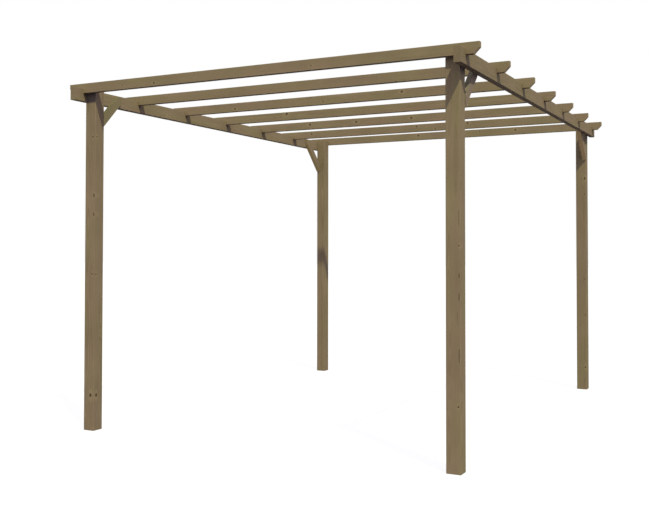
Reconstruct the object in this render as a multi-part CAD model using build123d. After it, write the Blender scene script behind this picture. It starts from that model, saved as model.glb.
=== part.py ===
"""Wooden pergola: four posts, two side beams, seven half-lapped rafters, four knee braces.

Frame: millimetres, X across the front, Y towards the back, Z up. The origin is on the ground,
in the middle of the four posts.
"""
from build123d import *
import os

# ---- driving dimensions (mm) ----
POST_SIDE = 92             # square section of a post
WIDTH_OVER_POSTS = 2900    # X, outer face to outer face
DEPTH_OVER_POSTS = 3768    # Y, outer face to outer face

BEAM_THICKNESS = 44        # X, carried on the outer faces of the posts
BEAM_HEIGHT = 95
BEAM_UNDERSIDE = 2423      # height above the ground
BEAM_PROJECTION = 116      # beyond the posts, front and back

RAFTER_COUNT = 7
RAFTER_THICKNESS = 37      # Y
RAFTER_HEIGHT = 72
RAFTER_OVERHANG = 85       # beyond the outer faces of the beams
RAFTER_HOUSING = 7         # depth that an end rafter is let into the posts
END_NOSE = 34              # upright part of a rafter's shaped end, from the top down
END_CHAMFER = 38           # 45 degree cut below the nose

BRACE_THICKNESS = 35       # X
BRACE_DEPTH = 58           # across its length
BRACE_DROP = 238           # from the beam's underside down to the brace's lower edge on the post
BRACE_LAP = 34             # how far past the beam's underside that lower edge runs
BRACE_HOUSING = 5          # depth that a brace is let into the beam
BRACE_HEAD_GAP = 12        # from the top of a brace's head up to the top of the beam

ARRIS = 2                  # radius of the eased long edges of planed timber

# ---- derived levels and places ----
BEAM_TOP = BEAM_UNDERSIDE + BEAM_HEIGHT
LAP_DEPTH = RAFTER_HEIGHT / 2
RAFTER_UNDERSIDE = BEAM_TOP - LAP_DEPTH
RAFTER_TOP = RAFTER_UNDERSIDE + RAFTER_HEIGHT

POST_X = (WIDTH_OVER_POSTS - POST_SIDE) / 2
POST_Y = (DEPTH_OVER_POSTS - POST_SIDE) / 2
BEAM_X = (WIDTH_OVER_POSTS + BEAM_THICKNESS) / 2
BEAM_LENGTH = DEPTH_OVER_POSTS + 2 * BEAM_PROJECTION
RAFTER_LENGTH = WIDTH_OVER_POSTS + 2 * (BEAM_THICKNESS + RAFTER_OVERHANG)
END_RAFTER_Y = DEPTH_OVER_POSTS / 2 - RAFTER_HOUSING + RAFTER_THICKNESS / 2
RAFTER_PITCH = 2 * END_RAFTER_Y / (RAFTER_COUNT - 1)

SIDES = {"left": -1, "right": 1}
ENDS = {"front": -1, "back": 1}


def timber(length, width, height, along):
    """A planed bar centred on the origin, its long edges eased before any joint is cut."""
    bar = Box(length, width, height)
    return fillet(bar.edges().filter_by(along), ARRIS)


def rafter_blank(y):
    """A rafter at its place, with its two shaped ends but no laps yet."""
    bar = Pos(0, y, (RAFTER_UNDERSIDE + RAFTER_TOP) / 2) * timber(
        RAFTER_LENGTH, RAFTER_THICKNESS, RAFTER_HEIGHT, Axis.X)
    for side in SIDES.values():
        tip = side * RAFTER_LENGTH / 2
        corner = Polyline(
            (tip, y, RAFTER_TOP - END_NOSE),
            (tip, y, RAFTER_UNDERSIDE),
            (tip - side * END_CHAMFER, y, RAFTER_UNDERSIDE),
            close=True)
        bar -= extrude(make_face(corner), RAFTER_THICKNESS, dir=(0, 1, 0), both=True)
    return bar


def rafter(y):
    """A rafter lapped over both beams to half its height."""
    bar = rafter_blank(y)
    for side in SIDES.values():
        bar -= Pos(side * BEAM_X, y, BEAM_TOP - LAP_DEPTH / 2) * Box(
            BEAM_THICKNESS, 2 * RAFTER_THICKNESS, LAP_DEPTH)
    return bar


def post(side, end):
    """A post as tall as the beam, with the housing that takes the end rafter."""
    upright = Pos(side * POST_X, end * POST_Y, BEAM_TOP / 2) * timber(
        POST_SIDE, POST_SIDE, BEAM_TOP, Axis.Z)
    housing = Pos(side * POST_X, end * END_RAFTER_Y, BEAM_TOP - LAP_DEPTH / 2) * Box(
        2 * POST_SIDE, RAFTER_THICKNESS, LAP_DEPTH)
    return upright - housing


def brace(side, end):
    """A 45 degree knee brace: upright cut on the post, lapped on the beam's inner face."""
    inner_y = end * (DEPTH_OVER_POSTS / 2 - POST_SIDE)
    foot = BEAM_UNDERSIDE - BRACE_DROP
    upright_cut = BRACE_DEPTH * 2 ** 0.5
    reach = BRACE_DROP + BRACE_LAP
    head = BEAM_TOP - BRACE_HEAD_GAP
    outline = Polyline(
        (0, inner_y, foot),
        (0, inner_y - end * reach, foot + reach),
        (0, inner_y - end * reach, head),
        (0, inner_y - end * (head - foot - upright_cut), head),
        (0, inner_y, foot + upright_cut),
        close=True)
    middle = side * (WIDTH_OVER_POSTS / 2 + BRACE_HOUSING - BRACE_THICKNESS / 2)
    return Pos(middle, 0, 0) * extrude(make_face(outline), BRACE_THICKNESS / 2, dir=(1, 0, 0), both=True)


def beam(side):
    """A side beam with shallow housings for its two braces."""
    bar = Pos(side * BEAM_X, 0, (BEAM_UNDERSIDE + BEAM_TOP) / 2) * timber(
        BEAM_THICKNESS, BEAM_LENGTH, BEAM_HEIGHT, Axis.Y)
    for end in ENDS.values():
        bar -= brace(side, end)
    return bar


def build_nodes():
    """Every timber of the pergola by its node name."""
    nodes = {}
    for side_name, side in SIDES.items():
        nodes[f"beam_{side_name}"] = beam(side)
        for end_name, end in ENDS.items():
            nodes[f"post_{end_name}_{side_name}"] = post(side, end)
            nodes[f"brace_{end_name}_{side_name}"] = brace(side, end)
    for index in range(RAFTER_COUNT):
        nodes[f"rafter_{index + 1}"] = rafter(index * RAFTER_PITCH - END_RAFTER_Y)
    return nodes


os.makedirs("parts", exist_ok=True)
for node_name, shape in build_nodes().items():
    export_step(shape, f"parts/{node_name}.step")
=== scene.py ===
"""Looks of a free-standing wooden pergola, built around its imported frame.

The frame carries the seventeen planed timbers: four posts, two beams, seven rafters and four
braces. This script gives each of them its own piece of stained softwood, drives the screws that
hold the joints, and stands the pergola in a plain white studio.
"""

import logging
import math
from dataclasses import dataclass, field, replace
from enum import Enum

import bmesh
import bpy
from mathutils import Matrix, Vector


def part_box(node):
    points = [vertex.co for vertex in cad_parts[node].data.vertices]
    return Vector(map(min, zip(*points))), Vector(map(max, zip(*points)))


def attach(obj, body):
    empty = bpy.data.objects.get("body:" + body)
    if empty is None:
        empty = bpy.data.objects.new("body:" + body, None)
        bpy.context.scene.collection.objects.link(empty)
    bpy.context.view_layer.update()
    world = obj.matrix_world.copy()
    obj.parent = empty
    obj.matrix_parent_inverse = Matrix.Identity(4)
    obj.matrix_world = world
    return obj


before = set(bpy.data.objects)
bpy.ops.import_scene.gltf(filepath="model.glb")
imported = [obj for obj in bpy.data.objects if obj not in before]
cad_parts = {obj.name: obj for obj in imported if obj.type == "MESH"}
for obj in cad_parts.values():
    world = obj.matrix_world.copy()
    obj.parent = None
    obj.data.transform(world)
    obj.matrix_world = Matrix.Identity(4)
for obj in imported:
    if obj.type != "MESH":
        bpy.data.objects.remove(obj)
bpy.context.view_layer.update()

LOG = logging.getLogger("pergola")
ROOT_BODY = "root"
MILLIMETRE = 0.001

Colour = tuple[float, float, float]
Way = tuple[float, float, float]
Socket = bpy.types.NodeSocket

WHITE: Colour = (1.0, 1.0, 1.0)
RIGHTWARD: Way = (1.0, 0.0, 0.0)
UPWARD: Way = (0.0, 0.0, 1.0)
SLANT = math.sqrt(0.5)


class Face(Enum):
    """The outward direction of a timber's face."""

    FRONT = (0.0, -1.0, 0.0)
    BACK = (0.0, 1.0, 0.0)
    LEFT = (-1.0, 0.0, 0.0)
    RIGHT = (1.0, 0.0, 0.0)
    BOTTOM = (0.0, 0.0, -1.0)

    @property
    def outward(self) -> Vector:
        """Unit vector out of the face."""
        return Vector(self.value)


class Side(Enum):
    """The two long sides of the pergola, by their sign along X."""

    LEFT = -1
    RIGHT = 1

    @property
    def outer(self) -> Face:
        """The face that looks out of the pergola."""
        return Face.RIGHT if self is Side.RIGHT else Face.LEFT

    @property
    def inner(self) -> Face:
        """The face that looks into the pergola."""
        return Face.LEFT if self is Side.RIGHT else Face.RIGHT

    def inner_x(self, low: Vector, high: Vector) -> float:
        """X of the inner face of a timber with these corners."""
        return low.x if self is Side.RIGHT else high.x


class End(Enum):
    """The two ends of the pergola, by their sign along Y."""

    FRONT = -1
    BACK = 1


class GrainRun(Enum):
    """Which way a timber's grain runs, and the direction taken as its side."""

    UPRIGHT = (UPWARD, RIGHTWARD)
    FRONT_TO_BACK = ((0.0, 1.0, 0.0), RIGHTWARD)
    LEFT_TO_RIGHT = (RIGHTWARD, UPWARD)
    RISING_TO_BACK = ((0.0, SLANT, SLANT), RIGHTWARD)
    RISING_TO_FRONT = ((0.0, -SLANT, SLANT), RIGHTWARD)

    @property
    def along(self) -> Vector:
        """Unit vector along the grain."""
        return Vector(self.value[0])

    @property
    def side(self) -> Vector:
        """Unit vector across the grain, towards the timber's side."""
        return Vector(self.value[1])

    @property
    def third(self) -> Vector:
        """Unit vector that completes the timber's own axes."""
        return self.along.cross(self.side)

    def local(self, way: Vector) -> Vector:
        """Turn a vector of the frame into the timber's own axes: side, third, along."""
        return Vector((way.dot(self.side), way.dot(self.third), way.dot(self.along)))


def node_name(kind: str, *where: Enum) -> str:
    """Name the frame's node of a kind at a place, such as post_front_left."""
    return "_".join((kind, *(place.name.lower() for place in where)))


def corners(node: str) -> tuple[Vector, Vector]:
    """Lowest and highest corner of a node of the frame."""
    low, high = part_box(node)
    return Vector(low), Vector(high)


def put(name: str, data: bpy.types.ID) -> bpy.types.Object:
    """Put a mesh, lamp or camera into the scene."""
    thing = bpy.data.objects.new(name, data)
    bpy.context.scene.collection.objects.link(thing)
    return thing


# --------------------------------------------------------------------------------------
# Node helpers
# --------------------------------------------------------------------------------------


def rgba(colour: object) -> object:
    """Add the alpha that a colour socket expects; anything else passes through."""
    if isinstance(colour, tuple) and len(colour) == 3:
        return (*colour, 1.0)
    return colour


class Wire:
    """A number, vector or colour that runs through a node tree.

    Arithmetic on it adds a Math node, or a Vector Math node where it isn't a plain number.
    """

    def __init__(self, sheet: "NodeSheet", socket: Socket) -> None:
        """Take the output socket that carries the value."""
        self.sheet = sheet
        self.socket = socket

    @property
    def is_number(self) -> bool:
        """Whether it is a plain number."""
        return self.socket.type == "VALUE"

    def _sum(self, operation: str, first: object, second: object = None) -> "Wire":
        """Add the node of one operation, of the kind that suits the value."""
        add = self.sheet.math if self.is_number else self.sheet.vector
        return add(operation, first, second)

    def __add__(self, other: object) -> "Wire":
        """Add something to it."""
        return self._sum("ADD", self, other)

    def __sub__(self, other: object) -> "Wire":
        """Take something from it."""
        return self._sum("SUBTRACT", self, other)

    def __rsub__(self, other: object) -> "Wire":
        """Take it from something."""
        return self._sum("SUBTRACT", other, self)

    def __mul__(self, other: object) -> "Wire":
        """Multiply it, component by component if it is a vector."""
        return self._sum("MULTIPLY", self, other)

    def __truediv__(self, other: object) -> "Wire":
        """Divide it."""
        return self._sum("DIVIDE", self, other)

    def __rtruediv__(self, other: object) -> "Wire":
        """Divide something by it."""
        return self._sum("DIVIDE", other, self)

    def __abs__(self) -> "Wire":
        """Drop its sign."""
        return self._sum("ABSOLUTE", self)

    __radd__ = __add__
    __rmul__ = __mul__

    def at_least(self, other: object) -> "Wire":
        """Return the larger of it and another number."""
        return self.sheet.math("MAXIMUM", self, other)

    def scaled(self, factor: object) -> "Wire":
        """Multiply a vector or colour by one number."""
        return self.sheet.vector("SCALE", self, factor)

    def dot(self, other: object) -> "Wire":
        """Return the dot product with another vector."""
        return self.sheet.vector("DOT_PRODUCT", self, other)

    def cross(self, other: object) -> "Wire":
        """Return the cross product with another vector."""
        return self.sheet.vector("CROSS_PRODUCT", self, other)

    @property
    def length(self) -> "Wire":
        """Length of the vector."""
        return self.sheet.vector("LENGTH", self)

    @property
    def parts(self) -> tuple["Wire", ...]:
        """The three numbers of the vector or colour."""
        node = self.sheet.add("SeparateXYZ")
        self.sheet.feed(node.inputs[0], self)
        return tuple(Wire(self.sheet, socket) for socket in node.outputs)

    def fade(self, low: object, high: object) -> "Wire":
        """Fade smoothly from 0 at low to 1 at high."""
        node = self.sheet.add("MapRange", interpolation_type="SMOOTHSTEP")
        for name, value in (("Value", self), ("From Min", low), ("From Max", high)):
            self.sheet.feed(node.inputs[name], value)
        return Wire(self.sheet, node.outputs["Result"])

    def fall(self, low: object, high: object) -> "Wire":
        """Fall smoothly from 1 at low to 0 at high."""
        return 1.0 - self.fade(low, high)

    def swing(self, amount: float) -> "Wire":
        """Turn a noise value into a swing about zero, of the amount at the noise's extremes."""
        return (self - 0.5) * (2.0 * amount)

    def lots(self) -> tuple["Wire", "Wire"]:
        """Draw a random number and a random colour for each value of a number."""
        node = self.sheet.add("TexWhiteNoise", noise_dimensions="1D")
        self.sheet.feed(node.inputs["W"], self)
        return Wire(self.sheet, node.outputs["Value"]), Wire(self.sheet, node.outputs["Color"])


class NodeSheet:
    """A node tree with short calls for adding nodes and wiring them up."""

    def __init__(self, tree: bpy.types.NodeTree) -> None:
        """Wrap the node tree of a material, world or group."""
        self.tree = tree

    @classmethod
    def blank(cls, owner: bpy.types.Material | bpy.types.World) -> "NodeSheet":
        """Empty the nodes of a material or world, ready for its own."""
        owner.use_nodes = True
        owner.node_tree.nodes.clear()
        return cls(owner.node_tree)

    def add(self, kind: str, **settings: object) -> bpy.types.Node:
        """Add a node and set its plain attributes.

        Args:
            kind: The node's type name without the ShaderNode prefix.
            **settings: Attributes of the node, by name.

        Returns:
            The new node.
        """
        node = self.tree.nodes.new(kind if kind.startswith("Node") else "ShaderNode" + kind)
        for name, value in settings.items():
            setattr(node, name, value)
        return node

    def feed(self, socket: Socket, value: object) -> None:
        """Link a socket to a wire or an output, or set its value."""
        if isinstance(value, Wire):
            value = value.socket
        if isinstance(value, bpy.types.NodeSocket):
            self.tree.links.new(value, socket)
        elif value is not None:
            socket.default_value = value

    def read(self, kind: str, output: str) -> Wire:
        """Add a node that takes nothing, and return one of its outputs."""
        return Wire(self, self.add(kind).outputs[output])

    def math(self, operation: str, *operands: object) -> Wire:
        """Add a Math node.

        Args:
            operation: Blender's name of the operation.
            *operands: Numbers or wires.

        Returns:
            The result.
        """
        node = self.add("Math", operation=operation)
        for socket, value in zip(node.inputs, operands):
            self.feed(socket, value)
        return Wire(self, node.outputs[0])

    def vector(self, operation: str, first: object, second: object = None) -> Wire:
        """Add a Vector Math node.

        Args:
            operation: Blender's name of the operation.
            first: First operand, a vector or a wire.
            second: Second operand, or the factor of a SCALE operation.

        Returns:
            The output that the operation fills.
        """
        node = self.add("VectorMath", operation=operation)
        self.feed(node.inputs[0], first)
        self.feed(node.inputs["Scale"] if operation == "SCALE" else node.inputs[1], second)
        return Wire(self, node.outputs["Value" if operation in ("DOT_PRODUCT", "LENGTH") else "Vector"])

    def joined(self, *numbers: object) -> Wire:
        """Join three numbers into a vector."""
        node = self.add("CombineXYZ")
        for socket, value in zip(node.inputs, numbers):
            self.feed(socket, value)
        return Wire(self, node.outputs[0])

    def noise(self, place: Wire, detail: float = 2.0, roughness: float = 0.5, output: str = "Fac") -> Wire:
        """Add a noise texture of one feature for each unit of the place.

        Args:
            place: The vector or number that it reads, scaled as the features need.
            detail: Its octaves.
            roughness: How strong the finer octaves are.
            output: Fac for a value that averages one half, or Color.

        Returns:
            The noise.
        """
        line = place.is_number
        node = self.add("TexNoise", noise_dimensions="1D" if line else "3D")
        self.feed(node.inputs["W" if line else "Vector"], place)
        for name, value in (("Scale", 1.0), ("Detail", detail), ("Roughness", roughness)):
            node.inputs[name].default_value = value
        return Wire(self, node.outputs[output])

    def mix(self, factor: object, first: object, second: object) -> Wire:
        """Mix two colours.

        Args:
            factor: Share of the second colour.
            first: First colour or wire.
            second: Second colour or wire.

        Returns:
            The mixed colour.
        """
        node = self.add("Mix", data_type="RGBA", clamp_factor=True)
        sockets = {socket.name: socket for socket in node.inputs if socket.enabled}
        for name, value in (("Factor", factor), ("A", rgba(first)), ("B", rgba(second))):
            self.feed(sockets[name], value)
        return Wire(self, next(socket for socket in node.outputs if socket.enabled))

    def end_in(self, kind: str, shader: Socket) -> None:
        """Feed a shader to the tree's output node."""
        self.feed(self.add(kind).inputs["Surface"], shader)


@dataclass(frozen=True)
class Figure:
    """A noise pattern on the wood, drawn out along the grain.

    Attributes:
        across: Features a metre across the grain.
        along: Features a metre along it.
        detail: Octaves.
        roughness: How strong the finer octaves are.
    """

    across: float
    along: float
    detail: float = 1.0
    roughness: float = 0.5

    def at(self, place: Wire, output: str = "Fac") -> Wire:
        """Read the pattern at a place whose third number runs along the grain."""
        stretched = place * (self.across, self.across, self.along)
        return place.sheet.noise(stretched, self.detail, self.roughness, output)


@dataclass(frozen=True)
class Port:
    """A named input or output of a shader node group.

    Attributes:
        name: The socket's name.
        kind: Float or Vector.
    """

    name: str
    kind: str = "Float"


class EffectGroup:
    """A shader node group that several finishes share.

    A subclass names its ports and wires the effect in `wire`. The group is made once, and `place`
    puts it into a material with that material's own values.
    """

    title = "Effect"
    takes: tuple[Port, ...] = ()
    gives: tuple[Port, ...] = ()

    @classmethod
    def tree(cls) -> bpy.types.NodeTree:
        """Return the group's tree, making it the first time."""
        made = bpy.data.node_groups.get(cls.title)
        if made:
            return made
        tree = bpy.data.node_groups.new(cls.title, "ShaderNodeTree")
        for ports, direction in ((cls.takes, "INPUT"), (cls.gives, "OUTPUT")):
            for port in ports:
                tree.interface.new_socket(
                    name=port.name, in_out=direction, socket_type="NodeSocket" + port.kind)
        sheet = NodeSheet(tree)
        ins = sheet.add("NodeGroupInput").outputs
        outs = sheet.add("NodeGroupOutput").inputs
        take = {port.name: Wire(sheet, ins[port.name]) for port in cls.takes}
        for name, value in cls.wire(sheet, take).items():
            sheet.feed(outs[name], value)
        return tree

    @classmethod
    def wire(cls, sheet: NodeSheet, take: dict[str, Wire]) -> dict[str, Wire]:
        """Wire the effect.

        Args:
            sheet: The group's tree.
            take: The group's inputs by name.

        Returns:
            The wire that feeds each output, by the output's name.
        """
        raise NotImplementedError

    @classmethod
    def place(cls, sheet: NodeSheet, **values: object) -> dict[str, Wire]:
        """Put the group into a tree.

        Args:
            sheet: The tree that gets the group.
            **values: A number, vector or wire for each input, with spaces as underscores.

        Returns:
            The group's outputs by name.
        """
        node = sheet.add("Group")
        node.node_tree = cls.tree()
        node.label = cls.title
        for name, value in values.items():
            sheet.feed(node.inputs[name.replace("_", " ")], value)
        return {port.name: Wire(sheet, node.outputs[port.name]) for port in cls.gives}


# --------------------------------------------------------------------------------------
# Shared timber effects
# --------------------------------------------------------------------------------------


class TimberAxes(EffectGroup):
    """Turns a place in the frame into a place in one timber: side, third and along, in metres.

    It also tells which way the surface faces in that timber.

    Attributes:
        turned: How squarely a surface faces a way, over which it comes to count as facing it.
        square: The same for a sawn end, which a sloping cut isn't.
    """

    title = "Timber Axes"
    takes = (
        Port("Place", "Vector"),
        Port("Middle", "Vector"),
        Port("Along", "Vector"),
        Port("Side", "Vector"),
        Port("Shift"),
    )
    gives = (
        Port("Grain Place", "Vector"),
        Port("Own Place", "Vector"),
        Port("Cut End"),
        Port("Square End"),
        Port("Side Face"),
    )
    turned = (0.5, 0.65)
    square = (0.75, 0.9)

    @classmethod
    def wire(cls, sheet: NodeSheet, take: dict[str, Wire]) -> dict[str, Wire]:
        """Measure the place along the timber's axes, and tell its ends and its side faces."""
        from_middle = take["Place"] - take["Middle"]
        axes = (take["Side"], take["Along"].cross(take["Side"]), take["Along"])
        grain = sheet.joined(*(from_middle.dot(axis) for axis in axes))
        normal = sheet.read("NewGeometry", "Normal")
        along = abs(normal.dot(take["Along"]))
        return {
            "Grain Place": grain,
            "Own Place": grain + sheet.joined(0.0, 0.0, take["Shift"]),
            "Cut End": along.fade(*cls.turned),
            "Square End": along.fade(*cls.square),
            "Side Face": abs(normal.dot(take["Side"])).fade(*cls.turned),
        }


class KnotMark(EffectGroup):
    """One knot: a branch that runs out of the timber's heart to one face.

    Its marks are added to those of the knots before it in the chain. Most of its measures are in
    radii of the knot from its axis.

    Attributes:
        skin: Half the depth over which it comes in, on its side of the heart, in metres.
        core_edge: Where the dark core fades out.
        year_pace: How fast the core's own rings follow each other, in radians a radius.
        core_tone: Mean strength of the core, and how far its own rings swing from that.
        rim_start: Where the bark rim comes in.
        halo_start: Where the resinous wood comes in.
        halo_end: Where it fades out.
        halo_stretch: What distances along the grain count for in the halo.
        flow_stretch: What they count for in the push on the rings.
        flow_fall: How fast the push falls off with the square of the distance.
        flow_push: How far the rings are pushed at the axis.
    """

    title = "Knot"
    takes = (
        Port("Grain Place", "Vector"),
        Port("Ragged"),
        Port("Knot Place", "Vector"),
        Port("Outward", "Vector"),
        Port("Radius"),
        Port("Length"),
        Port("Strength"),
        Port("Core So Far"),
        Port("Rim So Far"),
        Port("Halo So Far"),
        Port("Flow So Far"),
    )
    gives = (Port("Core"), Port("Rim"), Port("Halo"), Port("Flow"))
    skin = 0.002
    core_edge = (0.75, 1.15)
    year_pace = 19.0
    core_tone = (0.84, 0.14)
    rim_start = (0.55, 0.9)
    halo_start = (0.9, 1.5)
    halo_end = (1.1, 2.5)
    halo_stretch = 0.4
    flow_stretch = 0.28
    flow_fall = -0.14
    flow_push = 1.7

    @classmethod
    def wire(cls, sheet: NodeSheet, take: dict[str, Wire]) -> dict[str, Wire]:
        """Darken the core and its bark rim, pale the wood about it and push the rings aside."""
        radius, outward = take["Radius"], take["Outward"]
        from_knot = take["Grain Place"] - take["Knot Place"]
        across = from_knot.dot(outward.cross(UPWARD))
        along = from_knot.parts[2]

        def reach(stretch: object) -> Wire:
            """Distance from the axis in radii, with distances along the grain counted at a rate."""
            return sheet.joined(across, along * stretch, 0.0).length / radius

        shown = from_knot.dot(outward).fade(-cls.skin, cls.skin) * take["Strength"]
        near = reach(1.0 / take["Length"]) + take["Ragged"]
        edge = near.fall(*cls.core_edge)
        mean, swing = cls.core_tone
        wide = reach(cls.flow_stretch)
        marks = {
            "Core": edge * (sheet.math("SINE", near * cls.year_pace) * swing + mean),
            "Rim": near.fade(*cls.rim_start) * edge,
            "Halo": near.fade(*cls.halo_start) * reach(cls.halo_stretch).fall(*cls.halo_end),
        }
        result = {name: take[name + " So Far"].at_least(mark * shown) for name, mark in marks.items()}
        flow = sheet.math("EXPONENT", wide * wide * cls.flow_fall) * (radius * cls.flow_push)
        result["Flow"] = take["Flow So Far"] + flow * shown
        return result


class GrowthRings(EffectGroup):
    """Growth rings about the pith, which show as lines, flames or arcs where a face cuts them.

    Attributes:
        wander: Pattern in which the pith strays.
        wander_gain: Factor that brings the pattern's weak swings up to the stated measure.
        uneven_pace: Changes a metre in how wide the rings are.
        unevenness: How many rings' width those changes come to.
        latewood_rise: Share of a ring over which its latewood darkens.
        latewood_fall: Share over which it ends.
        faintest: Strength of the faintest year's latewood.
    """

    title = "Growth Rings"
    takes = (
        Port("Own Place", "Vector"),
        Port("Pith", "Vector"),
        Port("Ring Width"),
        Port("Waver"),
        Port("Flow"),
    )
    gives = (Port("Latewood"), Port("Ring Tone"), Port("From Pith", "Vector"))
    wander = Figure(5.0, 1.5, 3.0, 0.42)
    wander_gain = 4.0
    uneven_pace = 60.0
    unevenness = 1.2
    latewood_rise = (0.2, 0.86)
    latewood_fall = (0.88, 1.0)
    faintest = 0.5

    @classmethod
    def wire(cls, sheet: NodeSheet, take: dict[str, Wire]) -> dict[str, Wire]:
        """Count rings outwards from a wandering pith and mark each ring's dark latewood."""
        strayed = cls.wander.at(take["Own Place"], "Color") - (0.5, 0.5, 0.5)
        moved = strayed.scaled(take["Waver"] * cls.wander_gain)
        flat = (take["Own Place"] - take["Pith"] + moved) * (1.0, 1.0, 0.0)
        radius = flat.length + take["Flow"]
        count = radius / take["Ring Width"] + sheet.noise(radius * cls.uneven_pace).swing(cls.unevenness)
        part = sheet.math("FRACT", count)
        year, _ = sheet.math("FLOOR", count).lots()
        strength = year * (1.0 - cls.faintest) + cls.faintest
        late = part.fade(*cls.latewood_rise) * part.fall(*cls.latewood_fall) * strength
        return {"Latewood": late, "Ring Tone": year, "From Pith": flat}


class FibreStreaks(EffectGroup):
    """Fibres, streaks and patches of stain that run with the grain, from hair-fine to hand-wide.

    Attributes:
        figures: The pattern behind each output.
        fleck: Values of the finest pattern over which a resin canal shows.
    """

    title = "Fibre Streaks"
    takes = (Port("Own Place", "Vector"),)
    gives = (Port("Fibre"), Port("Fleck"), Port("Streak"), Port("Patch"), Port("Hue"))
    figures = {
        "Fibre": Figure(520.0, 14.0, 3.0, 0.62),
        "Fleck": Figure(900.0, 55.0),
        "Streak": Figure(42.0, 1.2, 2.0),
        "Patch": Figure(7.0, 3.6, 2.0),
        "Hue": Figure(11.0, 2.1),
    }
    fleck = (0.66, 0.76)

    @classmethod
    def wire(cls, sheet: NodeSheet, take: dict[str, Wire]) -> dict[str, Wire]:
        """Read each pattern, and keep only the canals of the finest."""
        result = {name: figure.at(take["Own Place"]) for name, figure in cls.figures.items()}
        result["Fleck"] = result["Fleck"].fade(*cls.fleck)
        return result


class ArrisWear(EffectGroup):
    """Marks the eased arrises of a timber, where handling has rubbed the stain thin.

    Attributes:
        reach: Distances from the corner, in metres, over which the wear fades out.
        breaks: Pattern that breaks it up.
        broken: Values of the pattern over which it comes in.
    """

    title = "Arris Wear"
    takes = (Port("Grain Place", "Vector"), Port("Half Side"), Port("Half Third"))
    gives = (Port("Wear"),)
    reach = (0.0012, 0.0045)
    breaks = Figure(90.0, 38.0, 3.0)
    broken = (0.38, 0.62)

    @classmethod
    def wire(cls, sheet: NodeSheet, take: dict[str, Wire]) -> dict[str, Wire]:
        """Fade in over the last millimetres towards each long corner, broken up along it."""
        side, third, _ = take["Grain Place"].parts
        to_corner = (take["Half Side"] - abs(side)) + (take["Half Third"] - abs(third))
        broken = cls.breaks.at(take["Grain Place"]).fade(*cls.broken)
        return {"Wear": to_corner.fall(*cls.reach) * broken}


class DryingChecks(EffectGroup):
    """Fine cracks from drying: hairlines along the faces and short rays across the sawn ends.

    Attributes:
        lines: Pattern whose middle contour the hairlines follow.
        line_width: Values off that contour over which a hairline fades out.
        patches: Pattern of the patches that have hairlines.
        in_patch: Values of that pattern over which they come in.
        face_strength: Strength of a hairline against a ray.
        rays: Sectors about the pith, of which each may hold a ray.
        aims: Where in its sector a ray runs at least, and what chance adds to that, as shares.
        bends: Pattern that bends the rays.
        bend: How far it bends them, as a share of a sector.
        start: How far from the pith a ray may start, in metres.
        run: How far it may run, in metres.
        ease: Lengths over which it opens and closes, in metres.
        width: Half its width, in metres.
        thinnest: The least that half its width may be, in metres.
    """

    title = "Drying Checks"
    takes = (Port("Own Place", "Vector"), Port("From Pith", "Vector"), Port("Cut End"))
    gives = (Port("Crack"),)
    lines = Figure(55.0, 0.5)
    line_width = (0.002, 0.008)
    patches = Figure(14.0, 2.0)
    in_patch = (0.64, 0.76)
    face_strength = 0.65
    rays = 26.0
    aims = (0.25, 0.5)
    bends = Figure(120.0, 120.0, 2.0)
    bend = 0.12
    start = 0.035
    run = 0.045
    ease = (0.006, 0.02)
    width = 0.7 * MILLIMETRE
    thinnest = 0.01 * MILLIMETRE

    @classmethod
    def hairlines(cls, place: Wire) -> Wire:
        """Follow the middle contour of a pattern that is drawn out along the grain, in some patches."""
        hairline = abs(cls.lines.at(place) - 0.5).fall(*cls.line_width)
        return hairline * cls.patches.at(place).fade(*cls.in_patch)

    @classmethod
    def spokes(cls, sheet: NodeSheet, from_pith: Wire) -> Wire:
        """Open one short radial crack in some of the sectors about the pith.

        Args:
            sheet: The group's tree.
            from_pith: Place from the pith, across the grain.

        Returns:
            1 in a crack and 0 elsewhere.
        """
        side, third, _ = from_pith.parts
        reach = from_pith.length
        turn = sheet.math("ARCTAN2", third, side) * (cls.rays / math.tau)
        chance, colour = sheet.math("FLOOR", turn).lots()
        red, green, _ = colour.parts
        least, added = cls.aims
        aim = red * added + least
        bent = sheet.math("FRACT", turn) + cls.bends.at(from_pith).swing(cls.bend)
        gap = abs((bent - aim) * (reach * (math.tau / cls.rays)))
        start = green * cls.start
        stop = start + chance * cls.run
        opens, closes = cls.ease
        length = reach.fade(start, start + opens) * reach.fall(stop - closes, stop)
        return gap.fall(0.0, length * cls.width + cls.thinnest)

    @classmethod
    def wire(cls, sheet: NodeSheet, take: dict[str, Wire]) -> dict[str, Wire]:
        """Show hairlines on the planed faces and rays on the sawn ends."""
        on_face = cls.face_strength - take["Cut End"] * cls.face_strength
        faces = cls.hairlines(take["Own Place"]) * on_face
        ends = cls.spokes(sheet, take["From Pith"]) * take["Cut End"]
        return {"Crack": faces.at_least(ends)}


class TopWeatheringAndShade(EffectGroup):
    """Grey-green weathering where a surface faces up and rain and dust settle on it, made deep enough to
    be painted shade as well: faces that look up are darkened as if the light missed them.

    Attributes:
        mottle: Its pattern.
        mottled: Values of the pattern over which it deepens.
        strengths: Its least strength, and what the pattern adds.
        faces_up: How squarely a surface faces up, over which it gathers the stain.
    """

    title = "Sky Stain"
    takes = (Port("Place", "Vector"),)
    gives = (Port("Stain"),)
    mottle = Figure(22.0, 22.0, 4.0, 0.6)
    mottled = (0.25, 0.65)
    strengths = (0.7, 0.3)
    faces_up = (0.35, 0.6)

    @classmethod
    def wire(cls, sheet: NodeSheet, take: dict[str, Wire]) -> dict[str, Wire]:
        """Mask the surfaces that face up, with a mottled strength."""
        up = sheet.read("NewGeometry", "Normal").parts[2]
        least, added = cls.strengths
        strength = cls.mottle.at(take["Place"]).fade(*cls.mottled) * added + least
        return {"Stain": up.fade(*cls.faces_up) * strength}


# --------------------------------------------------------------------------------------
# Timbers and their finish
# --------------------------------------------------------------------------------------


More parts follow.
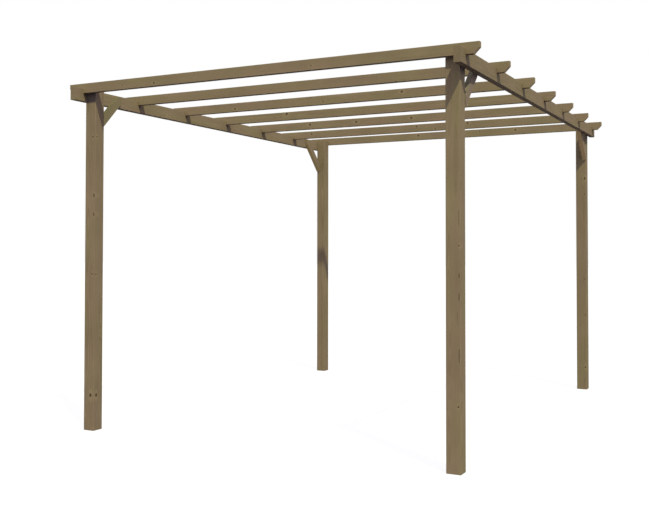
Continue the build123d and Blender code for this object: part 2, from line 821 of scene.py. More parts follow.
@dataclass(frozen=True)
class Knot:
    """A knot that shows on one face of a timber.

    Attributes:
        along: Distance from the timber's low, front or left end, in metres.
        across: Distance from the middle of the face, towards the frame's positive side.
        face: The face that it shows on.
        radius: Radius of its dark core across the grain, in metres.
        strength: How dark it is, from 0 to 1.
        length: How many times longer than wide it is.
        through: Whether it also shows on the opposite face.
    """

    along: float
    across: float
    face: Face = Face.FRONT
    radius: float = 0.0075
    strength: float = 1.0
    length: float = 1.25
    through: bool = False


@dataclass(frozen=True)
class PaintedShade:
    """Painted shade on one face of an upright timber, darkening its top as if the timber above shaded it.

    Attributes:
        face: The face.
        foot: Height above the ground at which it begins, in metres.
        rise: Height over which it deepens, in metres.
    """

    face: Face
    foot: float
    rise: float


@dataclass(frozen=True)
class Timber:
    """One timber as its finish sees it.

    Attributes:
        node: Name of the frame's node.
        run: Which way its grain runs.
        knots: Its knots.
        pith: Where the tree's pith lies in the section, from the timber's middle, in metres.
        shift: Where the timber was cut along its tree, which sets its figure apart.
        tone: Brightness of this timber against the others.
        end_tone: Brightness of its square sawn ends, which drink the stain, against its faces.
        cast: Painted shade tint, what its own colour leaves of the common one, to darken or tint the
            timber as if it stood in shade.
        grime_and_shade: Painted shade on one of its faces, below the timber above.
    """

    node: str
    run: GrainRun
    knots: tuple[Knot, ...]
    pith: tuple[float, float]
    shift: float
    tone: float = 1.0
    end_tone: float = 0.9
    cast: Colour = WHITE
    grime_and_shade: PaintedShade | None = None

    @property
    def middle(self) -> Vector:
        """Middle of the timber in the frame."""
        low, high = corners(self.node)
        return (low + high) / 2

    def half(self, way: Vector) -> float:
        """Half the timber's box along a direction of the frame."""
        low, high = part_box(self.node)
        return sum(abs(w) * (b - a) for w, a, b in zip(way, low, high)) / 2

    def knot_place(self, knot: Knot) -> Vector:
        """Where a knot's axis starts, in the timber's own axes."""
        outward = knot.face.outward
        across_way = Vector(abs(value) for value in outward.cross(self.run.along))
        start = self.run.local(across_way) * knot.across
        start.z = knot.along - self.half(self.run.along)
        if knot.through:
            start -= self.run.local(outward)
        return start

    def dress(self, finish: "StainedSoftwood") -> None:
        """Give the frame's node its finish."""
        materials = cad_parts[self.node].data.materials
        materials.clear()
        materials.append(finish.material(self))
        LOG.info("%s: stained softwood, %d knots", self.node, len(self.knots))


@dataclass(frozen=True)
class StainedSoftwood:
    """Planed softwood with a brown pressure-treatment stain, as on every timber of the pergola.

    Attributes:
        early: Colour of the pale earlywood.
        late: Colour of the dark latewood.
        warm: Earlywood of the redder patches.
        olive: Earlywood of the greener patches.
        warm_hues: Values of the hue pattern over which the redder patches come in.
        olive_hues: Values over which the greener ones do.
        knot_core: Colour of a knot's core.
        knot_rim: Colour of the bark ring round it.
        resin: Colour of the resinous wood about a knot.
        resin_share: How strongly that wood shows.
        ragged: Pattern that frays the outline of the knots.
        ragged_reach: How far it frays them, in radii.
        worn: Colour where the stain has rubbed thin.
        worn_share: How strongly it shows.
        crack: Colour in a drying check.
        crack_share: How strongly it shows.
        weathering_and_shade_tint: What weathering and painted shade leave of the colour on faces that look
            up.
        side_painted_shade: What the painted shade of the side faces leaves of the colour, darkening them
            against the front and back faces.
        painted_shade_tint: What the painted shade below a sheltering timber leaves of the colour.
        painted_shade_facing: How squarely a surface faces the shaded way, over which the painted shade
            comes in.
        ring_width: Spacing of the growth rings, in metres.
        waver: How far the pith wanders, in metres.
        ring_depth: How strongly the latewood shows, from 0 to 1.
        mottling: How far each pattern swings the brightness.
        fleck_depth: How much darker a resin canal is.
        roughness: Mean surface roughness.
        rough_swing: How far the fibres swing it.
        wear_polish: How much smoother a rubbed arris is.
        gloss: Specular level of the dry wood.
        relief: Height of each mark, in units of the relief's depth.
        relief_depth: Depth of the relief, in metres.
    """

    early: Colour = (0.227, 0.171, 0.0880)
    late: Colour = (0.150, 0.109, 0.0530)
    warm: Colour = (0.230, 0.168, 0.0910)
    olive: Colour = (0.220, 0.174, 0.0825)
    warm_hues: tuple[float, float] = (0.5, 0.68)
    olive_hues: tuple[float, float] = (0.5, 0.34)
    knot_core: Colour = (0.058, 0.036, 0.020)
    knot_rim: Colour = (0.026, 0.017, 0.010)
    resin: Colour = (0.285, 0.215, 0.1000)
    resin_share: float = 0.45
    ragged: Figure = Figure(130.0, 130.0)
    ragged_reach: float = 0.35
    worn: Colour = (0.300, 0.235, 0.140)
    worn_share: float = 0.18
    crack: Colour = (0.040, 0.028, 0.017)
    crack_share: float = 0.8
    weathering_and_shade_tint: Colour = (0.53, 0.59, 0.59)
    side_painted_shade: Colour = (0.93, 0.93, 1.0)
    painted_shade_tint: Colour = (0.50, 0.52, 0.74)
    painted_shade_facing: tuple[float, float] = (0.6, 0.9)
    ring_width: float = 0.0046
    waver: float = 0.008
    ring_depth: float = 0.5
    mottling: tuple[tuple[str, float], ...] = (
        ("Streak", 0.07), ("Patch", 0.16), ("Fibre", 0.11), ("Ring Tone", 0.02))
    fleck_depth: float = 0.13
    roughness: float = 0.84
    rough_swing: float = 0.12
    wear_polish: float = 0.1
    gloss: float = 0.1
    relief: tuple[tuple[str, float], ...] = (
        ("Latewood", 0.22), ("Fibre", 0.55), ("Fleck", -0.15), ("Crack", -1.6), ("Rim", -0.6))
    relief_depth: float = 0.5 * MILLIMETRE

    def material(self, stock: Timber) -> bpy.types.Material:
        """Make the finish of one timber.

        Args:
            stock: The timber, with its axes, section and knots.

        Returns:
            A node material that follows the timber's own grain.
        """
        material = bpy.data.materials.new("softwood_" + stock.node)
        sheet = NodeSheet.blank(material)
        place = sheet.read("TexCoord", "Object")
        marks = self._marks(sheet, place, stock)
        wood = self._wood(sheet, marks)
        end_tone = 1.0 - marks["Square End"] * (1.0 - stock.end_tone)
        # Painted shade: cast tints a whole timber darker, as if it stood in shade.
        wood = wood.scaled(end_tone * stock.tone) * stock.cast
        # Painted shade: the top of one face of some posts is darkened where the timber above would shade
        # it.
        if stock.grime_and_shade:
            wood = self._painted_shade(sheet, place, stock.grime_and_shade, wood)
        shader = sheet.add("BsdfPrincipled")
        shader.inputs["Specular IOR Level"].default_value = self.gloss
        sheet.feed(shader.inputs["Base Color"], self._surface(sheet, wood, marks))
        rough = self.roughness + marks["Fibre"].swing(self.rough_swing) - marks["Wear"] * self.wear_polish
        sheet.feed(shader.inputs["Roughness"], rough)
        bump = sheet.add("Bump")
        bump.inputs["Distance"].default_value = self.relief_depth
        sheet.feed(bump.inputs["Height"], sum(marks[name] * rise for name, rise in self.relief))
        sheet.feed(shader.inputs["Normal"], bump.outputs["Normal"])
        sheet.end_in("OutputMaterial", shader.outputs[0])
        return material

    def _marks(self, sheet: NodeSheet, place: Wire, stock: Timber) -> dict[str, object]:
        """Place the shared effects in the timber's material.

        Args:
            sheet: The material's tree.
            place: Place in the frame.
            stock: The timber.

        Returns:
            Everything that the effects give, by name.
        """
        marks = TimberAxes.place(sheet, Place=place, Middle=stock.middle, Along=stock.run.along,
                                 Side=stock.run.side, Shift=stock.shift)
        grain, own = marks["Grain Place"], marks["Own Place"]
        marks |= self._knots(sheet, grain, stock)
        marks |= GrowthRings.place(sheet, Own_Place=own, Pith=(*stock.pith, 0.0),
                                   Ring_Width=self.ring_width, Waver=self.waver, Flow=marks["Flow"])
        marks |= FibreStreaks.place(sheet, Own_Place=own)
        marks |= ArrisWear.place(sheet, Grain_Place=grain, Half_Side=stock.half(stock.run.side),
                                 Half_Third=stock.half(stock.run.third))
        marks |= DryingChecks.place(sheet, Own_Place=own, From_Pith=marks["From Pith"],
                                    Cut_End=marks["Cut End"])
        return marks | TopWeatheringAndShade.place(sheet, Place=place)

    def _knots(self, sheet: NodeSheet, grain: Wire, stock: Timber) -> dict[str, object]:
        """Chain the timber's knots.

        Args:
            sheet: The material's tree.
            grain: Place in the timber.
            stock: The timber.

        Returns:
            The knots' Core, Rim, Halo and Flow.
        """
        marks: dict[str, object] = {port.name: 0.0 for port in KnotMark.gives}
        ragged = self.ragged.at(grain).swing(self.ragged_reach)
        for knot in stock.knots:
            so_far = {name + "_So_Far": value for name, value in marks.items()}
            marks = KnotMark.place(
                sheet, Grain_Place=grain, Ragged=ragged, Knot_Place=stock.knot_place(knot),
                Outward=stock.run.local(knot.face.outward), Radius=knot.radius,
                Length=knot.length, Strength=knot.strength, **so_far)
        return marks

    def _wood(self, sheet: NodeSheet, marks: dict[str, object]) -> Wire:
        """Colour the clear wood, without knots, wear or cracks, with painted shade on its side faces."""
        early = sheet.mix(marks["Hue"].fade(*self.warm_hues), self.early, self.warm)
        early = sheet.mix(marks["Hue"].fade(*self.olive_hues), early, self.olive)
        wood = sheet.mix(marks["Latewood"] * self.ring_depth, early, self.late)
        tone = 1.0
        for name, amount in self.mottling:
            tone = tone + marks[name].swing(amount)
        tone = tone - marks["Fleck"] * self.fleck_depth
        # Painted shade: the side faces are darkened against the others, as if less light fell on them.
        return sheet.mix(marks["Side Face"], wood, wood * self.side_painted_shade).scaled(tone)

    def _painted_shade(self, sheet: NodeSheet, place: Wire, grime_and_shade: PaintedShade, wood: Wire) -> Wire:
        """Paint shade on the top of one face, below the timber that would shade it.

        Args:
            sheet: The material's tree.
            place: Place in the frame.
            grime_and_shade: The painted shade.
            wood: Colour of the wood.

        Returns:
            The colour with its painted shade.
        """
        faced = sheet.read("NewGeometry", "Normal").dot(grime_and_shade.face.outward).fade(*self.painted_shade_facing)
        risen = place.parts[2].fade(grime_and_shade.foot, grime_and_shade.foot + grime_and_shade.rise)
        return sheet.mix(faced * risen, wood, wood * self.painted_shade_tint)

    def _surface(self, sheet: NodeSheet, wood: Wire, marks: dict[str, object]) -> Wire:
        """Lay knots, wear, weathering with painted shade on faces that look up, and cracks over the clear
        wood.

        Args:
            sheet: The material's tree.
            wood: Colour of the clear wood.
            marks: Where each of them is.

        Returns:
            The colour of the surface.
        """
        haloed = sheet.mix(marks["Halo"] * self.resin_share, wood, self.resin)
        rubbed = sheet.mix(marks["Wear"] * self.worn_share, haloed, self.worn)
        # Weathering and painted shade: faces that look up are darkened and greyed.
        weathered_and_shaded = sheet.mix(marks["Stain"], rubbed, rubbed * self.weathering_and_shade_tint)
        cored = sheet.mix(marks["Core"], weathered_and_shaded, self.knot_core)
        rimmed = sheet.mix(marks["Rim"], cored, self.knot_rim)
        return sheet.mix(marks["Crack"] * self.crack_share, rimmed, self.crack)


# --------------------------------------------------------------------------------------
# Screws
# --------------------------------------------------------------------------------------


@dataclass(frozen=True)
class CoatedSteel:
    """Brown-coated steel of the timber screws.

    Attributes:
        coat: Colour of the coating.
        steel: Colour where a driver has rubbed it off.
        roughness: Roughness of the coating.
        rough_swing: How far grime swings it.
        grime_and_shade: Pattern of the grime and the rubbing.
        rubbed: Values of the pattern over which the steel shows.
        metal: How metallic the bare steel looks.
    """

    coat: Colour = (0.105, 0.078, 0.044)
    steel: Colour = (0.30, 0.28, 0.25)
    roughness: float = 0.5
    rough_swing: float = 0.15
    grime_and_shade: Figure = Figure(700.0, 700.0, 3.0, 0.6)
    rubbed: tuple[float, float] = (0.6, 0.72)
    metal: float = 0.8

    def material(self) -> bpy.types.Material:
        """Make the coating, rubbed here and there to the steel."""
        material = bpy.data.materials.new("coated_steel")
        sheet = NodeSheet.blank(material)
        grime_and_shade = self.grime_and_shade.at(sheet.read("TexCoord", "Object"))
        rubbed = grime_and_shade.fade(*self.rubbed)
        shader = sheet.add("BsdfPrincipled")
        sheet.feed(shader.inputs["Base Color"], sheet.mix(rubbed, self.coat, self.steel))
        sheet.feed(shader.inputs["Metallic"], rubbed * self.metal)
        sheet.feed(shader.inputs["Roughness"], grime_and_shade.swing(self.rough_swing) + self.roughness)
        sheet.end_in("OutputMaterial", shader.outputs[0])
        return material


@dataclass(frozen=True)
class TimberScrew:
    """A countersunk timber screw with a lobed recess, seen by its head.

    Attributes:
        head_radius: Radius of the head.
        shank_radius: Radius of the shank.
        shank_length: Length of the shank that is made, below the head.
        crown: How far the head stands proud of the wood.
        lip: Width of its eased edges.
        shoulder: Height of the eased outer edge against the crown.
        recess_radius: Mean radius of the recess.
        recess_lobe: Depth of its lobes.
        recess_depth: Depth of the recess.
        recess_taper: Size of its floor against its mouth.
        lobes: How many lobes it has.
        steps: Facets around the head.
    """

    head_radius: float = 4.6 * MILLIMETRE
    shank_radius: float = 2.2 * MILLIMETRE
    shank_length: float = 12.0 * MILLIMETRE
    crown: float = 0.35 * MILLIMETRE
    lip: float = 0.25 * MILLIMETRE
    shoulder: float = 0.7
    recess_radius: float = 2.1 * MILLIMETRE
    recess_lobe: float = 0.32 * MILLIMETRE
    recess_depth: float = 1.8 * MILLIMETRE
    recess_taper: float = 0.9
    lobes: int = 6
    steps: int = 36

    def rings(self) -> list[tuple[float, float, float]]:
        """List the screw's outline from its point to the floor of its recess.

        Returns:
            Radius, lobe depth and height of each ring of the mesh.
        """
        taper = self.head_radius - self.shank_radius
        return [
            (self.shank_radius, 0.0, -taper - self.shank_length),
            (self.shank_radius, 0.0, -taper),
            (self.head_radius, 0.0, 0.0),
            (self.head_radius - self.lip / 2, 0.0, self.crown * self.shoulder),
            (self.head_radius - 3 * self.lip, 0.0, self.crown),
            (self.recess_radius + self.lip, self.recess_lobe, self.crown),
            (self.recess_radius, self.recess_lobe, self.crown - self.lip),
            (self.recess_radius * self.recess_taper, self.recess_lobe, self.crown - self.recess_depth),
        ]

    def drive(self, mesh: bmesh.types.BMesh, head: Vector, inward: Vector) -> None:
        """Add one driven screw to a mesh.

        Args:
            mesh: The mesh that collects the screws.
            head: Where the head meets the wood.
            inward: Direction that the screw is driven in.
        """
        turn = (-inward).to_track_quat("Z", "Y").to_matrix().to_4x4()
        place = Matrix.Translation(head) @ turn
        loops = []
        for radius, lobe, height in self.rings():
            loop = []
            for step in range(self.steps):
                angle = 2 * math.pi * step / self.steps
                reach = radius + lobe * math.cos(self.lobes * angle)
                point = Vector((reach * math.cos(angle), reach * math.sin(angle), height))
                loop.append(mesh.verts.new(place @ point))
            loops.append(loop)
        for lower, upper in zip(loops, loops[1:]):
            for step in range(self.steps):
                after = (step + 1) % self.steps
                mesh.faces.new((lower[step], lower[after], upper[after], upper[step]))
        mesh.faces.new(tuple(reversed(loops[0])))
        mesh.faces.new(loops[-1])


def screw_piece(name: str, places: list[tuple[Vector, Vector]], material: bpy.types.Material) -> None:
    """Make one piece of several driven screws.

    Args:
        name: Name of the piece.
        places: Head and inward direction of each screw.
        material: Finish of the screws.
    """
    screw = TimberScrew()
    built = bmesh.new()
    for head, inward in places:
        screw.drive(built, head, inward)
    mesh = bpy.data.meshes.new(name)
    built.to_mesh(mesh)
    built.free()
    mesh.materials.append(material)
    piece = put(name, mesh)
    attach(piece, ROOT_BODY)
    LOG.info("%s: %d screws", name, len(places))


# --------------------------------------------------------------------------------------
# Sub-assemblies
# --------------------------------------------------------------------------------------


@dataclass
class Posts:
    """The four square posts.

    Attributes:
        screw_drops: Depth of each fixing screw below the top of the post.
        screw_stagger: How far the screws stand to each side of the post's middle line.
        pith: How far the pith lies to the end's and the pergola's inner side of the middle.
        shifts: What the end and the side add to where the post was cut.
        far_start: Where the lowest knot on the far faces lies, on average.
        far_steps: What the side and the end add to that.
        far_pitch: Distance from one of these knots to the next.
        far_across: How far the next one lies across the face.
        rafter_grime: Painted shade on a post's front, below the end rafter.
        beam_painted_shade: Painted shade on a post's right side, below the beam.
    """

    screw_drops: tuple[float, float] = (0.025, 0.068)
    screw_stagger: float = 0.018
    pith: tuple[float, float] = (0.024, -0.031)
    shifts: tuple[float, float] = (5.0, 2.3)
    far_start: float = 0.35
    far_steps: tuple[float, float] = (0.12, 0.07)
    far_pitch: float = 0.73
    far_across: float = 0.017
    rafter_grime: PaintedShade = PaintedShade(Face.FRONT, 2.402, 0.024)
    beam_painted_shade: PaintedShade = PaintedShade(Face.RIGHT, 2.365, 0.045)

    def knots(self, end: End, side: Side) -> tuple[Knot, ...]:
        """List the knots of one post.

        Args:
            end: The end of the pergola that the post stands at.
            side: The side that it stands on.

        Returns:
            The knots.
        """
        chosen = {
            (End.FRONT, Side.LEFT): (
                Knot(0.258, 0.015, Face.FRONT, 0.0105),
                Knot(0.258, -0.019, Face.RIGHT, 0.0095),
                Knot(1.148, 0.023, Face.FRONT, 0.0052),
                Knot(1.146, -0.030, Face.RIGHT, 0.0052),
                Knot(2.160, 0.021, Face.FRONT, 0.0056),
                Knot(2.160, -0.028, Face.RIGHT, 0.0052),
                Knot(1.586, 0.036, Face.FRONT, 0.0055, length=2.6),
                Knot(1.726, 0.036, Face.FRONT, 0.0060, length=2.4),
                Knot(0.710, 0.025, Face.RIGHT, 0.0050, 0.6),
                Knot(0.960, 0.034, Face.RIGHT, 0.0050, 0.6),
            ),
            (End.FRONT, Side.RIGHT): (
                Knot(0.400, 0.031, Face.FRONT, 0.0050),
                Knot(0.700, 0.037, Face.FRONT, 0.0030, 0.7, 16.0),
                Knot(1.048, 0.037, Face.FRONT, 0.0036, 0.7, 7.0),
                Knot(1.174, 0.037, Face.FRONT, 0.0040, 0.8, 3.5),
                Knot(1.353, 0.036, Face.FRONT, 0.0045, 0.8),
                Knot(1.519, 0.036, Face.FRONT, 0.0030, 0.4, 16.0),
                Knot(1.874, 0.019, Face.FRONT, 0.0115, 0.12, 20.0),
            ),
            (End.BACK, Side.LEFT): (
                Knot(1.134, 0.004, Face.RIGHT, 0.0050, 0.6),
                Knot(1.247, -0.021, Face.RIGHT, 0.0050, 0.6),
            ),
            (End.BACK, Side.RIGHT): (
                Knot(0.211, 0.033, Face.FRONT, 0.0070),
                Knot(0.709, 0.036, Face.FRONT, 0.0045, 0.6, 2.5),
                Knot(1.050, 0.036, Face.FRONT, 0.0045, 0.6, 2.5),
                Knot(1.861, 0.035, Face.FRONT, 0.0050, 0.8, 1.8),
                Knot(2.010, 0.036, Face.FRONT, 0.0085),
            ),
        }
        return chosen[(end, side)] + self._far_knots(end, side)

    def _far_knots(self, end: End, side: Side) -> tuple[Knot, ...]:
        """Spread three knots over the post's left and back faces."""
        start = self.far_start + self.far_steps[0] * side.value + self.far_steps[1] * end.value
        return tuple(
            Knot(start + self.far_pitch * step, self.far_across * (step - 1), face)
            for step, face in enumerate((Face.LEFT, Face.BACK, Face.LEFT)))

    def timber(self, end: End, side: Side) -> Timber:
        """Describe one post.

        Args:
            end: The end of the pergola that the post stands at.
            side: The side that it stands on.

        Returns:
            The post as its finish sees it.
        """
        pith = (self.pith[0] * end.value, self.pith[1] * side.value)
        tones = {(End.FRONT, Side.LEFT): 0.98, (End.BACK, Side.LEFT): 0.99, (End.BACK, Side.RIGHT): 0.95}
        # Painted shade below the end rafter on the front left post's front, and below the beam on the
        # right posts' right sides.
        painted_shades = {(End.FRONT, Side.LEFT): self.rafter_grime, (End.FRONT, Side.RIGHT): self.beam_painted_shade,
                  (End.BACK, Side.RIGHT): self.beam_painted_shade}
        return Timber(node_name("post", end, side), GrainRun.UPRIGHT, self.knots(end, side), pith,
                      shift=self.shifts[0] * end.value + self.shifts[1] * side.value,
                      tone=tones.get((end, side), 1.0), grime_and_shade=painted_shades.get((end, side)))

    def build(self, finish: StainedSoftwood, steel: bpy.types.Material) -> None:
        """Dress the posts and drive the screws that hold the beams to them.

        Args:
            finish: Finish of the timber.
            steel: Finish of the screws.
        """
        places = []
        for end in End:
            for side in Side:
                timber = self.timber(end, side)
                timber.dress(finish)
                low, high = corners(timber.node)
                for drop, stagger in zip(self.screw_drops, (-1, 1)):
                    y = timber.middle.y + stagger * self.screw_stagger
                    head = Vector((side.inner_x(low, high), y, high.z - drop))
                    places.append((head, side.outer.outward))
        screw_piece("post_screws", places, steel)


@dataclass
class Beams:
    """The two beams that lie along the sides.

    Attributes:
        pith: How far the pith lies inside and above the middle.
        shift: Where the beams were cut, on average.
        shift_step: What the side adds to that.
        tone: Brightness of the beams, on average.
        tone_step: What the side takes from that.
    """

    pith: tuple[float, float] = (-0.046, 0.012)
    shift: float = 11.0
    shift_step: float = 3.1
    tone: float = 0.99
    tone_step: float = 0.04

    def knots(self, side: Side) -> tuple[Knot, ...]:
        """List the knots of one beam, on both upright faces and the underside."""
        return (
            Knot(0.62, 0.018, side.outer, 0.0055, 0.6),
            Knot(1.83, -0.012, side.outer, 0.0050, 0.6),
            Knot(3.21, 0.022, side.outer, 0.0055, 0.6),
            Knot(1.12, -0.016, side.inner, 0.0055, 0.6),
            Knot(2.64, 0.014, side.inner, 0.0055, 0.6),
            Knot(2.05, 0.004, Face.BOTTOM),
        )

    def build(self, finish: StainedSoftwood) -> None:
        """Dress the beams.

        Args:
            finish: Finish of the timber.
        """
        for side in Side:
            Timber(node_name("beam", side), GrainRun.FRONT_TO_BACK, self.knots(side),
                   pith=(self.pith[0] * side.value, self.pith[1]),
                   shift=self.shift + self.shift_step * side.value,
                   tone=self.tone - self.tone_step * side.value).dress(finish)


@dataclass
class Rafters:
    """The seven rafters, notched over the beams.

    Attributes:
        screw_rise: Height of a skew screw's head above the beam's top.
        screw_slope: How far a skew screw runs along Y and down.
        pith_reach: How far the pith lies from the middle.
        pith_turn: How far its way from the middle turns from one rafter to the next, in radians.
        shift: Where the front rafter was cut.
        shift_step: What each rafter adds to that.
        end_tone: Brightness of the sawn ends against the faces.
        knots_by_rafter: Knots on the front face, from the front rafter to the back one.
    """

    screw_rise: float = 0.020
    screw_slope: tuple[float, float] = (0.8, 0.6)
    pith_reach: float = 0.055
    pith_turn: float = 0.5
    shift: float = 20.0
    shift_step: float = 3.7
    end_tone: float = 0.65
    knots_by_rafter: tuple[tuple[Knot, ...], ...] = field(default_factory=lambda: (
        (
            Knot(0.496, -0.008, radius=0.0040, strength=0.7),
            Knot(0.780, -0.014, radius=0.0058),
            Knot(2.038, -0.009, radius=0.0045, strength=0.8),
            Knot(2.855, -0.008, radius=0.0032, strength=0.4),
        ), (
            Knot(0.906, -0.023, radius=0.0045, strength=0.5),
            Knot(2.365, -0.033, radius=0.0050, strength=0.8),
        ), (
            Knot(0.639, -0.012, radius=0.0068),
            Knot(1.471, -0.011, radius=0.0050),
            Knot(2.146, 0.013),
        ), (
            Knot(0.776, 0.021, radius=0.0092),
            Knot(2.584, -0.026, radius=0.0035, strength=0.5),
        ), (
            Knot(0.673, 0.007, radius=0.0090),
            Knot(1.163, 0.003, radius=0.0090),
            Knot(1.716, 0.004, radius=0.0085),
        ), (
            Knot(0.351, 0.008, radius=0.0080),
            Knot(1.519, 0.013, radius=0.0075),
            Knot(1.713, -0.016, radius=0.0055),
            Knot(2.036, 0.016, radius=0.0076),
        ), (
            Knot(1.287, 0.010, radius=0.0090),
            Knot(1.958, 0.013, radius=0.0060),
            Knot(2.325, 0.007, radius=0.0082),
        )))

    def timber(self, index: int) -> Timber:
        """Describe one rafter.

        Args:
            index: Its number, from 0 at the front.

        Returns:
            The rafter as its finish sees it.
        """
        knots = tuple(replace(knot, through=True) for knot in self.knots_by_rafter[index])
        turn = self.pith_turn * index
        pith = (self.pith_reach * math.cos(turn), self.pith_reach * math.sin(turn))
        return Timber(f"rafter_{index + 1}", GrainRun.LEFT_TO_RIGHT, knots, pith,
                      shift=self.shift + self.shift_step * index, end_tone=self.end_tone)

    def build(self, finish: StainedSoftwood, steel: bpy.types.Material) -> None:
        """Dress the rafters and drive a skew screw from each into each beam.

        Args:
            finish: Finish of the timber.
            steel: Finish of the screws.
        """
        places = []
        count = len(self.knots_by_rafter)
        for index in range(count):
            timber = self.timber(index)
            timber.dress(finish)
            low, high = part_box(timber.node)
            sheltered = -1 if index > count // 2 else 1
            y = high[1] if sheltered > 0 else low[1]
            run, fall = self.screw_slope
            inward = Vector((0.0, -run * sheltered, -fall)).normalized()
            for side in Side:
                beam_low, beam_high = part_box(node_name("beam", side))
                x = (beam_low[0] + beam_high[0]) / 2
                places.append((Vector((x, y, beam_high[2] + self.screw_rise)), inward))
        screw_piece("rafter_screws", places, steel)


@dataclass
class Braces:
    """The four short braces between the posts and the beams.

    Attributes:
        foot_screw_rise: Height of the foot screw above the brace's toe.
        head_screw_drop: Depth of the head screw below the brace's top.
        head_screw_back: Distance of the head screw from the brace's far end.
        pith: How far the pith lies outside the middle, and from it along the third axis.
        shift: Where the braces were cut, on average.
        shift_step: What the end adds to that. The side adds one.
    """

    foot_screw_rise: float = 0.042
    head_screw_drop: float = 0.030
    head_screw_back: float = 0.034
    pith: tuple[float, float] = (0.03, 0.04)
    shift: float = 50.0
    shift_step: float = 4.0

    def screws(self, end: End, side: Side) -> list[tuple[Vector, Vector]]:
        """Place the two screws of one brace.

        Args:
            end: The end of the pergola that the brace is at.
            side: The side that it is on.

        Returns:
            Head and inward direction of each screw.
        """
        low, high = corners(node_name("brace", end, side))
        at_post, at_beam = (low.y, high.y) if end is End.FRONT else (high.y, low.y)
        up, to_post = Vector(UPWARD), Vector((0.0, end.value, 0.0))
        toe = Vector(((low.x + high.x) / 2, at_post, low.z))
        foot = toe + (up - to_post) * self.foot_screw_rise
        head_y = at_beam + end.value * self.head_screw_back
        head = Vector((side.inner_x(low, high), head_y, high.z - self.head_screw_drop))
        return [(foot, (to_post + up).normalized()), (head, side.outer.outward)]

    def build(self, finish: StainedSoftwood, steel: bpy.types.Material) -> None:
        """Dress the braces and drive their screws.

        Args:
            finish: Finish of the timber.
            steel: Finish of the screws.
        """
        # Painted shade: the front left brace is darkened, and the front right and back right ones are
        # tinted purple-grey, as if in shade.
        shade_casts = {(End.FRONT, Side.LEFT): (0.90, 0.94, 0.90), (End.FRONT, Side.RIGHT): (0.97, 0.96, 1.16),
                 (End.BACK, Side.RIGHT): (0.98, 0.96, 1.07)}
        places = []
        for end in End:
            run = GrainRun.RISING_TO_BACK if end is End.FRONT else GrainRun.RISING_TO_FRONT
            for side in Side:
                Timber(node_name("brace", end, side), run, (),
                       pith=(self.pith[0] * side.value, self.pith[1]),
                       shift=self.shift + self.shift_step * end.value + side.value,
                       cast=shade_casts.get((end, side), WHITE)).dress(finish)
                places += self.screws(end, side)
        screw_piece("brace_screws", places, steel)


# --------------------------------------------------------------------------------------
# Studio
# --------------------------------------------------------------------------------------


@dataclass(frozen=True)
class FillLight:
    """A soft light that lifts the sloping cuts of one kind of timber out of the dark.

    Attributes:
        reaches: How the names of the timbers begin that receive it.
        away: Direction towards it.
        strength: Its strength.
        colour: Its colour.
    """

    reaches: str
    away: Way
    strength: float
    colour: Colour = WHITE


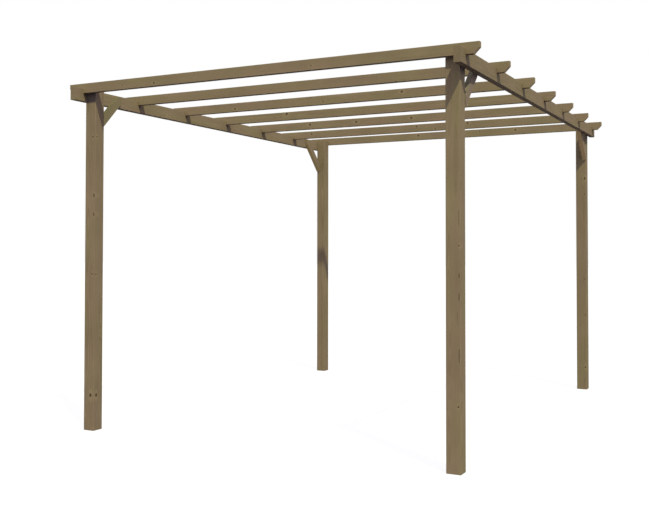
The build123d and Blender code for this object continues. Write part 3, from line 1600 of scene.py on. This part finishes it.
@dataclass
class Studio:
    """Camera, sun, fill lights, sky light and floor.

    Attributes:
        stand: Where the camera stands, in metres.
        heading: Turn of the camera to the left of straight back, in degrees.
        tilt: Upward tilt of the camera, in degrees.
        roll: Roll of the camera about its own axis, in degrees.
        lens: Focal length, in millimetres.
        sensor: Width of the film, in millimetres.
        shift: Vertical shift of the lens, in widths of the picture.
        sun_from: Direction towards the sun.
        sun_strength: Strength of the sun lamp.
        sun_colour: Colour of its light.
        sun_width: Angle that the sun fills, in degrees.
        fills: The soft fill lights.
        lamp_distance: How far off the lamps hang, which doesn't change their light.
        zenith: Strength of the sky's light straight overhead.
        horizon: Strength of its light at the horizon.
        front_glow: How much stronger the sky is in front of the pergola, as a share.
        sky_colour: Colour of the sky's light.
        floor_size: Side of the square floor, in metres.
        floor_bounce: Colour that throws the floor's light back up.
        floor_colour: Colour of the floor, as seen in its light.
        floor_shade: How much of the floor's own light and shade is seen.
    """

    stand: Way = (3.1966, -7.0101, 1.3326)
    heading: float = 27.33
    tilt: float = 1.3225
    roll: float = 0.06
    lens: float = 50.07
    sensor: float = 36.0
    shift: float = -0.046
    sun_from: Way = (0.4315, -0.347, 0.8327)
    sun_strength: float = 3.8
    sun_colour: Colour = (1.0, 1.0, 0.74)
    sun_width: float = 1.5
    fills: tuple[FillLight, ...] = (
        FillLight("brace_", (0.0, 0.0, -1.0), 2.6, (1.0, 0.91, 0.66)),
        FillLight("rafter_", RIGHTWARD, 2.2),
    )
    lamp_distance: float = 10.0
    zenith: float = 1.6
    horizon: float = 0.4
    front_glow: float = 0.15
    sky_colour: Colour = (1.0, 1.0, 1.28)
    floor_size: float = 120.0
    floor_bounce: Colour = (0.046, 0.041, 0.080)
    floor_colour: Colour = (0.8, 0.8, 0.8)
    floor_shade: float = 0.12

    def build(self) -> None:
        """Make everything that isn't the pergola."""
        bpy.context.scene.view_settings.view_transform = "Standard"
        self._camera()
        self._sun()
        for fill in self.fills:
            self._fill(fill)
        self._sky()
        self._floor()
        LOG.info("studio: camera, sun, sky and floor")

    def _camera(self) -> None:
        """Stand the camera in front of the pergola, a little to its right."""
        data = bpy.data.cameras.new("camera")
        data.sensor_width = self.sensor
        data.lens = self.lens
        data.shift_y = self.shift
        data.clip_end = 4 * self.floor_size
        camera = put("camera", data)
        turn = Matrix.Rotation(math.radians(self.heading), 4, "Z")
        lift = Matrix.Rotation(math.radians(90.0 + self.tilt), 4, "X")
        spin = Matrix.Rotation(math.radians(self.roll), 4, "Z")
        camera.matrix_world = Matrix.Translation(self.stand) @ turn @ lift @ spin
        bpy.context.scene.camera = camera

    def _lamp(self, name: str, away: Way, strength: float, colour: Colour) -> bpy.types.Object:
        """Hang a sun lamp.

        Args:
            name: Name of the lamp.
            away: Direction towards it.
            strength: Its strength.
            colour: Colour of its light.

        Returns:
            The lamp's object.
        """
        data = bpy.data.lights.new(name, "SUN")
        data.energy = strength
        data.color = colour
        lamp = put(name, data)
        turn = Vector(away).to_track_quat("Z", "Y").to_matrix().to_4x4()
        lamp.matrix_world = Matrix.Translation(self.lamp_distance * Vector(away)) @ turn
        return lamp

    def _sun(self) -> None:
        """Hang the sun high on the right, in front of the pergola."""
        sun = self._lamp("sun", self.sun_from, self.sun_strength, self.sun_colour)
        sun.data.angle = math.radians(self.sun_width)

    def _fill(self, fill: FillLight) -> None:
        """Hang a soft fill light without shadows, and let only its own timbers receive it."""
        lamp = self._lamp(fill.reaches + "fill", fill.away, fill.strength, fill.colour)
        lamp.data.use_shadow = False
        lit = bpy.data.collections.new("lit_by_" + lamp.name)
        for name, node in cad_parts.items():
            if name.startswith(fill.reaches):
                lit.objects.link(node)
        lamp.light_linking.receiver_collection = lit

    def _seen(self, sheet: NodeSheet) -> Wire:
        """Return 1 where the camera sees a place directly, or in or through a glossy surface."""
        path = sheet.add("LightPath")
        camera, glossy, through = (
            Wire(sheet, path.outputs[f"Is {kind} Ray"]) for kind in ("Camera", "Glossy", "Transmission"))
        return camera.at_least(glossy).at_least(through)

    def _shader(self, sheet: NodeSheet, kind: str, colour: Colour) -> Socket:
        """Add a plain shader of one colour."""
        node = sheet.add(kind)
        node.inputs["Color"].default_value = rgba(colour)
        return node.outputs[0]

    def _mixed(self, sheet: NodeSheet, share: object, first: Socket, second: Socket) -> Socket:
        """Mix two shaders by a share of the second."""
        node = sheet.add("MixShader")
        for socket, value in zip(node.inputs, (share, first, second)):
            sheet.feed(socket, value)
        return node.outputs[0]

    def _sky(self) -> None:
        """Light the pergola evenly from the sky, and show plain white behind it."""
        world = bpy.data.worlds.new("sky")
        sheet = NodeSheet.blank(world)
        _, back, up = sheet.read("TexCoord", "Generated").parts
        level = up.at_least(0.0) * (self.zenith - self.horizon) + self.horizon
        light = self._shader(sheet, "Background", self.sky_colour)
        sheet.feed(light.node.inputs["Strength"], level * (1.0 - back * self.front_glow))
        white = self._shader(sheet, "Background", WHITE)
        sheet.end_in("OutputWorld", self._mixed(sheet, self._seen(sheet), light, white))
        bpy.context.scene.world = world

    def _floor(self) -> None:
        """Lay a pale floor that looks white, keeps a faint shadow and throws little light up."""
        half = self.floor_size / 2
        mesh = bpy.data.meshes.new("floor")
        mesh.from_pydata([(-half, -half, 0), (half, -half, 0), (half, half, 0), (-half, half, 0)], [],
                         [(0, 1, 2, 3)])
        material = bpy.data.materials.new("pale_floor")
        sheet = NodeSheet.blank(material)
        shown = self._mixed(sheet, 1.0 - self.floor_shade,
                            self._shader(sheet, "BsdfDiffuse", self.floor_colour),
                            self._shader(sheet, "Emission", WHITE))
        bounce = self._shader(sheet, "BsdfDiffuse", self.floor_bounce)
        sheet.end_in("OutputMaterial", self._mixed(sheet, self._seen(sheet), bounce, shown))
        mesh.materials.append(material)
        floor = put("floor", mesh)


def main() -> None:
    """Dress the pergola's timbers, drive its screws and set it in the studio."""
    logging.basicConfig(level=logging.INFO, format="%(name)s: %(message)s")
    finish = StainedSoftwood()
    steel = CoatedSteel().material()
    Posts().build(finish, steel)
    Beams().build(finish)
    Rafters().build(finish, steel)
    Braces().build(finish, steel)
    Studio().build()


if __name__ == "__main__":
    main()
